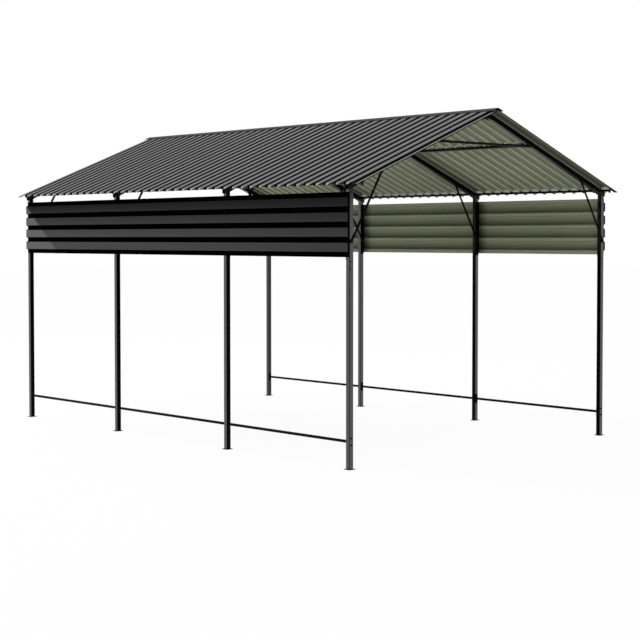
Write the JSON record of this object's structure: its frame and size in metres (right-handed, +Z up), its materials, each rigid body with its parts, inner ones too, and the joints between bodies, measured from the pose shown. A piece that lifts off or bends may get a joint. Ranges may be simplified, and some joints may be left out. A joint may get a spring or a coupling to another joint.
{
  "type": "carport",
  "caption": "Free-standing open carport: steel tube posts and rafters, ribbed sheet gable roof, and a band of ribbed sheet along the top of each side.",
  "frame": {"origin": "centre of the footprint, on the ground under the base plates", "axes": "+X across the carport to the right, +Y along it from the front to the back, +Z up"},
  "size_m": [3.122, 4.826, 2.7831],
  "materials": {
    "frame": "satin black powder coat",
    "side_sheet": "satin charcoal outside, olive grey inside",
    "roof_sheet": "satin charcoal outside, olive grey inside",
    "trim": "satin dark grey"
  },
  "bodies": {
    "root": {"base_plates": "frame", "collar_tie_1": "frame", "collar_tie_2": "frame", "collar_tie_3": "frame", "collar_tie_4": "frame", "eave_gussets": "frame", "eave_tube_left": "frame", "eave_tube_right": "frame", "knee_braces_left": "frame", "knee_braces_right": "frame", "mid_purlin_left": "frame", "mid_purlin_right": "frame", "post_left_1": "frame", "post_left_2": "frame", "post_left_3": "frame", "post_left_4": "frame", "post_right_1": "frame", "post_right_2": "frame", "post_right_3": "frame", "post_right_4": "frame", "rafter_left_1": "frame", "rafter_left_2": "frame", "rafter_left_3": "frame", "rafter_left_4": "frame", "rafter_right_1": "frame", "rafter_right_2": "frame", "rafter_right_3": "frame", "rafter_right_4": "frame", "rail_end_plates": "frame", "ridge_cap": "trim", "ridge_plates": "frame", "ridge_tube": "frame", "roof_sheet_left": "roof_sheet", "roof_sheet_right": "roof_sheet", "sheet_angles": "frame", "side_rail_left_1": "frame", "side_rail_left_2": "frame", "side_rail_left_3": "frame", "side_rail_right_1": "frame", "side_rail_right_2": "frame", "side_rail_right_3": "frame", "side_sheet_back_left": "side_sheet", "side_sheet_back_right": "side_sheet", "side_sheet_front_left": "side_sheet", "side_sheet_front_right": "side_sheet", "verge_trims": "trim"}
  },
  "joints": []
}
